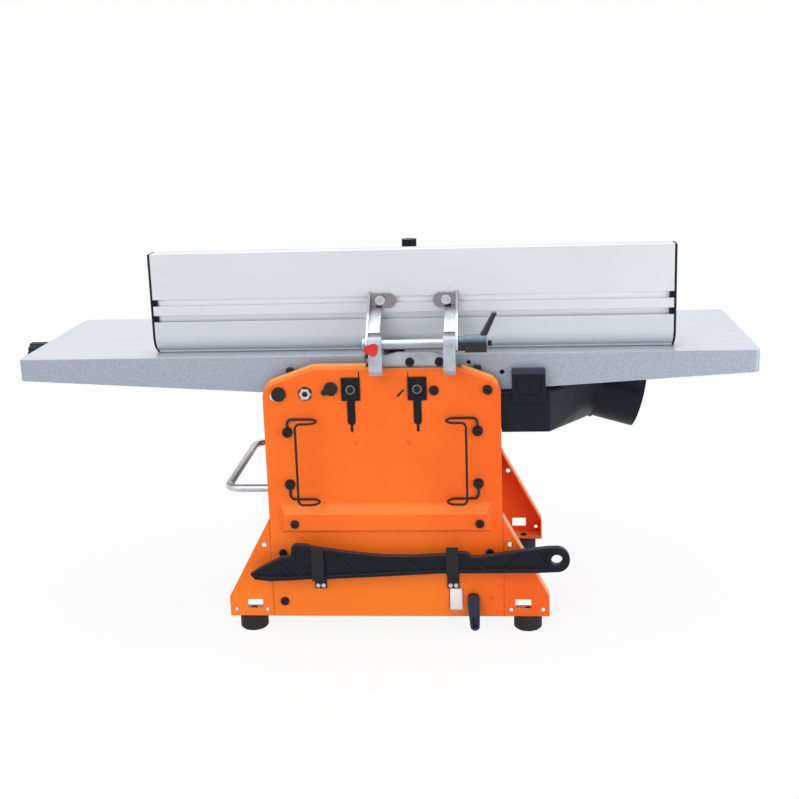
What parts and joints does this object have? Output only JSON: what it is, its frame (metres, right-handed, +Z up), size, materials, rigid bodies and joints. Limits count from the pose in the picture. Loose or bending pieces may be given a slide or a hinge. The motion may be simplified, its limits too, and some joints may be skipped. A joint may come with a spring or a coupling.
{
  "type": "combination planer thicknesser",
  "caption": "Bench planer thicknesser: two tables over a cutterhead, tilting fence, bridge guard, rising bed, crank, feed rollers, dust chute and stowed push stick on an orange body.",
  "frame": {"origin": "on the floor, under the middle of the machine's box", "axes": "+X along the tables towards the outfeed end, +Y towards the operator's side, +Z up"},
  "size_m": [0.954, 0.4198, 0.4885],
  "materials": {
    "orange_coat": "fine orange powder coat, satin",
    "table_cast": "cast aluminium, ground on top and plain on the skirts",
    "fence_alu": "drawn aluminium, clear anodised",
    "fence_lug_alu": "die-cast aluminium, satin",
    "bare_steel": "bare machined steel",
    "wall_steel": "bare pressed steel plate",
    "zinc": "bright zinc plate",
    "black_steel": "black oxide and black paint",
    "motor_grey": "dark grey paint on cast housings",
    "black_plastic": "black moulded plastic, fine grain",
    "lever_plastic": "blue-black moulded plastic",
    "guard_red": "red coated aluminium",
    "pointer_red": "red plastic",
    "button_green": "green plastic",
    "button_red": "red plastic",
    "brass": "turned brass",
    "rubber": "black rubber",
    "chain_steel": "oiled dark steel"
  },
  "bodies": {
    "frame": {"base_plate_rear": "orange_coat", "base_plate_front": "orange_coat", "cross_members": "orange_coat", "base_floor": "orange_coat", "rubber_feet": "rubber", "wall_rear": "wall_steel", "wall_front": "wall_steel", "rear_cover": "orange_coat", "front_cover": "orange_coat", "frame_bolts": "zinc", "frame_screws": "black_steel", "outfeed_table": "table_cast", "cutter_bearings": "zinc", "motor_body": "motor_grey", "drive_belts": "rubber", "feed_gearbox": "motor_grey", "feed_chain": "chain_steel", "roller_blocks": "black_plastic", "lift_gearbox": "motor_grey", "fence_base": "fence_lug_alu", "fence_rod": "zinc", "angle_pointer": "pointer_red", "wire_holders": "black_steel", "stick_clips": "black_steel", "guard_bracket": "motor_grey", "switch_box": "black_plastic"},
    "infeed": {"infeed_table": "table_cast"},
    "depth_knob": {"depth_knob": "black_plastic", "depth_screw": "zinc"},
    "depth_nut": {"depth_nut": "brass"},
    "cutter": {"cutterhead": "bare_steel", "cutter_knives": "bare_steel"},
    "motor_rotor": {"motor_rotor": "bare_steel"},
    "gearbox_pulley": {"gearbox_pulley": "bare_steel"},
    "drive_sprocket": {"drive_sprocket": "bare_steel"},
    "feed_in_roller": {"feed_in_roller": "bare_steel"},
    "feed_out_roller": {"feed_out_roller": "bare_steel"},
    "pawls": {"kickback_pawls": "bare_steel"},
    "bed": {"thickness_bed": "table_cast", "bed_support_bar": "zinc", "lift_post": "bare_steel"},
    "lift_screw": {"lift_screw": "bare_steel"},
    "lift_shaft": {"lift_shaft": "bare_steel"},
    "crank": {"crank": "zinc"},
    "crank_grip": {"crank_grip": "black_plastic"},
    "chute": {"dust_chute": "black_plastic", "chute_tray": "black_plastic"},
    "chute_latch": {"chute_latch": "black_plastic"},
    "fence_arms": {"fence_arms": "zinc", "fence_bolts": "zinc"},
    "fence": {"fence": "fence_alu", "fence_caps": "black_plastic"},
    "fence_lever": {"fence_lever": "black_plastic"},
    "push_stick": {"push_stick": "black_plastic"},
    "guard_slide": {"guard_slide": "black_plastic"},
    "guard_bar": {"guard_bar": "guard_red"},
    "guard_knob": {"guard_knob": "black_plastic"},
    "start_button": {"start_button": "button_green"},
    "stop_button": {"stop_button": "button_red"},
    "feed_lever": {"feed_lever": "lever_plastic"}
  },
  "joints": [
    {"name": "infeed_slide", "type": "slide", "parent": "frame", "child": "infeed", "axis": [-0.866, 0, -0.5], "range_m": [0, 0.006]},
    {"name": "depth_knob_turn", "type": "hinge", "parent": "infeed", "child": "depth_knob", "pos_m": [-0.443, -0.03175, 0.3385], "axis": [1, 0, 0], "range_deg": [0, 626]},
    {"name": "depth_nut_float", "type": "slide", "parent": "frame", "child": "depth_nut", "axis": [0, 0, -1], "range_m": [0, 0.0031]},
    {"name": "cutter_spin", "type": "hinge", "parent": "frame", "child": "cutter", "pos_m": [0.021, -0.03175, 0.3355], "axis": [0, 1, 0], "continuous": true},
    {"name": "motor_spin", "type": "hinge", "parent": "frame", "child": "motor_rotor", "pos_m": [-0.067, -0.03175, 0.0845], "axis": [0, 1, 0], "continuous": true},
    {"name": "gearbox_spin", "type": "hinge", "parent": "frame", "child": "gearbox_pulley", "pos_m": [0.126, -0.03175, 0.0845], "axis": [0, 1, 0], "continuous": true},
    {"name": "feed_in_spin", "type": "hinge", "parent": "frame", "child": "feed_in_roller", "pos_m": [0.062, -0.03175, 0.322], "axis": [0, 1, 0], "continuous": true},
    {"name": "feed_out_spin", "type": "hinge", "parent": "frame", "child": "feed_out_roller", "pos_m": [-0.02, -0.03175, 0.322], "axis": [0, 1, 0], "continuous": true},
    {"name": "feed_sprocket_spin", "type": "hinge", "parent": "frame", "child": "drive_sprocket", "pos_m": [0.089, -0.03175, 0.1295], "axis": [0, 1, 0], "continuous": true},
    {"name": "pawl_swing", "type": "hinge", "parent": "frame", "child": "pawls", "pos_m": [0.099, -0.03175, 0.3305], "axis": [0, 1, 0], "range_deg": [0, 40]},
    {"name": "bed_lift", "type": "slide", "parent": "frame", "child": "bed", "axis": [0, 0, 1], "range_m": [0, 0.07]},
    {"name": "lift_screw_turn", "type": "hinge", "parent": "frame", "child": "lift_screw", "pos_m": [0.017, -0.03175, 0.0645], "axis": [0, 0, 1], "range_deg": [0, 3155]},
    {"name": "lift_shaft_turn", "type": "hinge", "parent": "frame", "child": "lift_shaft", "pos_m": [0.017, -0.03175, 0.0445], "axis": [0, 1, 0], "range_deg": [0, 3155]},
    {"name": "crank_turn", "type": "hinge", "parent": "frame", "child": "crank", "pos_m": [0.017, 0.15275, 0.1295], "axis": [0, 1, 0], "range_deg": [0, 3155]},
    {"name": "crank_grip_spin", "type": "hinge", "parent": "crank", "child": "crank_grip", "pos_m": [-0.033, 0.15975, 0.1295], "axis": [0, 1, 0], "continuous": true},
    {"name": "chute_pull", "type": "slide", "parent": "frame", "child": "chute", "axis": [1, 0, 0], "range_m": [0, 0.3]},
    {"name": "chute_latch_press", "type": "slide", "parent": "chute", "child": "chute_latch", "axis": [0, 1, 0], "range_m": [0, 0.0018], "stiffness_N_per_m": 300},
    {"name": "fence_tilt", "type": "hinge", "parent": "frame", "child": "fence_arms", "pos_m": [0.017, -0.19675, 0.3805], "axis": [1, 0, 0], "range_deg": [0, 45]},
    {"name": "fence_slide", "type": "slide", "parent": "fence_arms", "child": "fence", "axis": [1, 0, 0], "range_m": [-0.06, 0.06]},
    {"name": "fence_lever_turn", "type": "hinge", "parent": "frame", "child": "fence_lever", "pos_m": [0.017, -0.19675, 0.3805], "axis": [1, 0, 0], "range_deg": [-40, 75]},
    {"name": "push_stick_lift", "type": "slide", "parent": "frame", "child": "push_stick", "axis": [0, 0, 1], "range_m": [0, 0.046]},
    {"name": "guard_height", "type": "slide", "parent": "frame", "child": "guard_slide", "axis": [0, 0, 1], "range_m": [0, 0.04]},
    {"name": "guard_bar_slide", "type": "slide", "parent": "guard_slide", "child": "guard_bar", "axis": [0, 1, 0], "range_m": [0, 0.12]},
    {"name": "guard_knob_turn", "type": "hinge", "parent": "guard_slide", "child": "guard_knob", "pos_m": [0.032, 0.16825, 0.4325], "axis": [0, 0, 1], "range_deg": [0, 2885]},
    {"name": "start_press", "type": "slide", "parent": "frame", "child": "start_button", "axis": [0, -1, 0], "range_m": [0, 0.0025], "stiffness_N_per_m": 600},
    {"name": "stop_press", "type": "slide", "parent": "frame", "child": "stop_button", "axis": [0, -1, 0], "range_m": [0, 0.0025], "stiffness_N_per_m": 600},
    {"name": "feed_lever_turn", "type": "hinge", "parent": "frame", "child": "feed_lever", "pos_m": [0.1263, -0.03175, 0.0465], "axis": [0, 1, 0], "range_deg": [-40, 40]}
  ],
  "couplings": [
    {"joint": "depth_knob_turn", "follows": "infeed_slide", "rad_per_m": 1813.8},
    {"joint": "depth_nut_float", "follows": "infeed_slide", "ratio": 0.5},
    {"joint": "motor_spin", "follows": "cutter_spin", "ratio": 0.44231},
    {"joint": "gearbox_spin", "follows": "cutter_spin", "ratio": 0.47917},
    {"joint": "feed_out_spin", "follows": "feed_in_spin", "ratio": 1},
    {"joint": "feed_sprocket_spin", "follows": "feed_in_spin", "ratio": 1},
    {"joint": "lift_screw_turn", "follows": "bed_lift", "rad_per_m": 785.4},
    {"joint": "lift_shaft_turn", "follows": "bed_lift", "rad_per_m": 785.4},
    {"joint": "crank_turn", "follows": "bed_lift", "rad_per_m": 785.4},
    {"joint": "guard_knob_turn", "follows": "guard_height", "rad_per_m": 1256.6}
  ]
}
